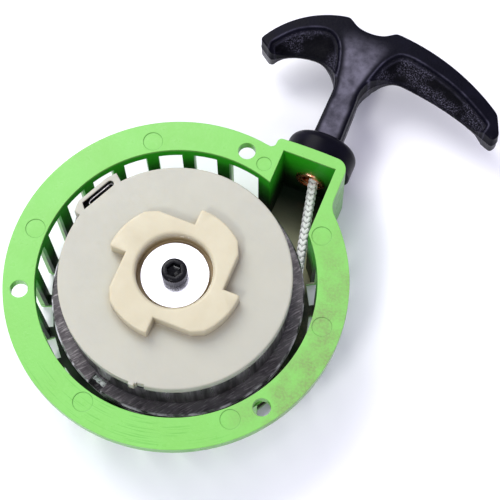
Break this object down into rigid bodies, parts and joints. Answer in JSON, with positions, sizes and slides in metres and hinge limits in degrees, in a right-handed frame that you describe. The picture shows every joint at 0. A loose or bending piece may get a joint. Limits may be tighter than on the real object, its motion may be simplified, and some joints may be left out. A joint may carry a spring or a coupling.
{
  "type": "recoil starter",
  "caption": "Pull starter for a small engine: vented flanged cover with a rope reel, springs, a clawed cam wheel, an eyelet and a T-shaped pull handle on the rope.",
  "frame": {"origin": "centre of the three mounting holes, on the flange's mating face", "axes": "+Z along the reel's axis, towards the engine; +Y the way the rope is pulled; +X completes the frame"},
  "size_m": [0.1617, 0.2049, 0.0508],
  "materials": {
    "green_paint": "glossy green paint on a pressure die casting",
    "plain_steel": "ground steel",
    "washer_plastic": "natural nylon",
    "zinc_steel": "bright zinc plate",
    "black_screw": "black oxide",
    "copper_eyelet": "bare copper, polished by the rope",
    "reel_alloy": "dark as-cast alloy with bright worn rims",
    "bronze_bush": "sintered bronze",
    "braided_rope": "white braided polyester",
    "spring_steel": "blued spring steel",
    "cream_nylon": "moulded nylon, satin",
    "black_rubber": "smooth black rubber",
    "black_plastic": "black nylon, polished ribs and grained pockets"
  },
  "bodies": {
    "housing": {"housing": "green_paint", "thread_insert": "plain_steel", "post_sleeve": "plain_steel", "floor_washer": "washer_plastic", "retaining_washer": "zinc_steel", "centre_screw": "black_screw", "eyelet": "copper_eyelet", "rope_run": "braided_rope", "recoil_spring": "spring_steel", "spring_case": "zinc_steel"},
    "reel": {"reel": "reel_alloy", "reel_bush": "bronze_bush", "rope_coil": "braided_rope", "damper_spring": "spring_steel", "thrust_washer": "washer_plastic"},
    "cam": {"cam_wheel": "cream_nylon"},
    "rope_tail": {"rope_end": "braided_rope", "knot_washer": "zinc_steel"},
    "handle": {"grip": "black_plastic", "handle_collar": "black_rubber"}
  },
  "joints": [
    {"name": "reel_spin", "type": "hinge", "parent": "housing", "child": "reel", "pos_m": [0, 0, -0.0205], "axis": [0, 0, 1], "range_deg": [0, 1224], "stiffness_Nm_per_rad": 0.02, "springref_deg": -458.37, "deforming": ["recoil_spring", "rope_coil", "rope_run"]},
    {"name": "cam_windup", "type": "hinge", "parent": "reel", "child": "cam", "pos_m": [0, 0, 0.0028], "axis": [0, 0, 1], "range_deg": [-360, 0], "stiffness_Nm_per_rad": 0.25, "deforming": ["damper_spring"]},
    {"name": "handle_pull", "type": "slide", "parent": "housing", "child": "rope_tail", "axis": [0, 1, 0], "range_m": [0, 0.8015]},
    {"name": "handle_twist", "type": "hinge", "parent": "rope_tail", "child": "handle", "pos_m": [0.03, 0.0712, -0.0205], "axis": [0, 1, 0], "continuous": true}
  ],
  "couplings": [
    {"joint": "handle_pull", "follows": "reel_spin", "m_per_rad": 0.0375}
  ]
}
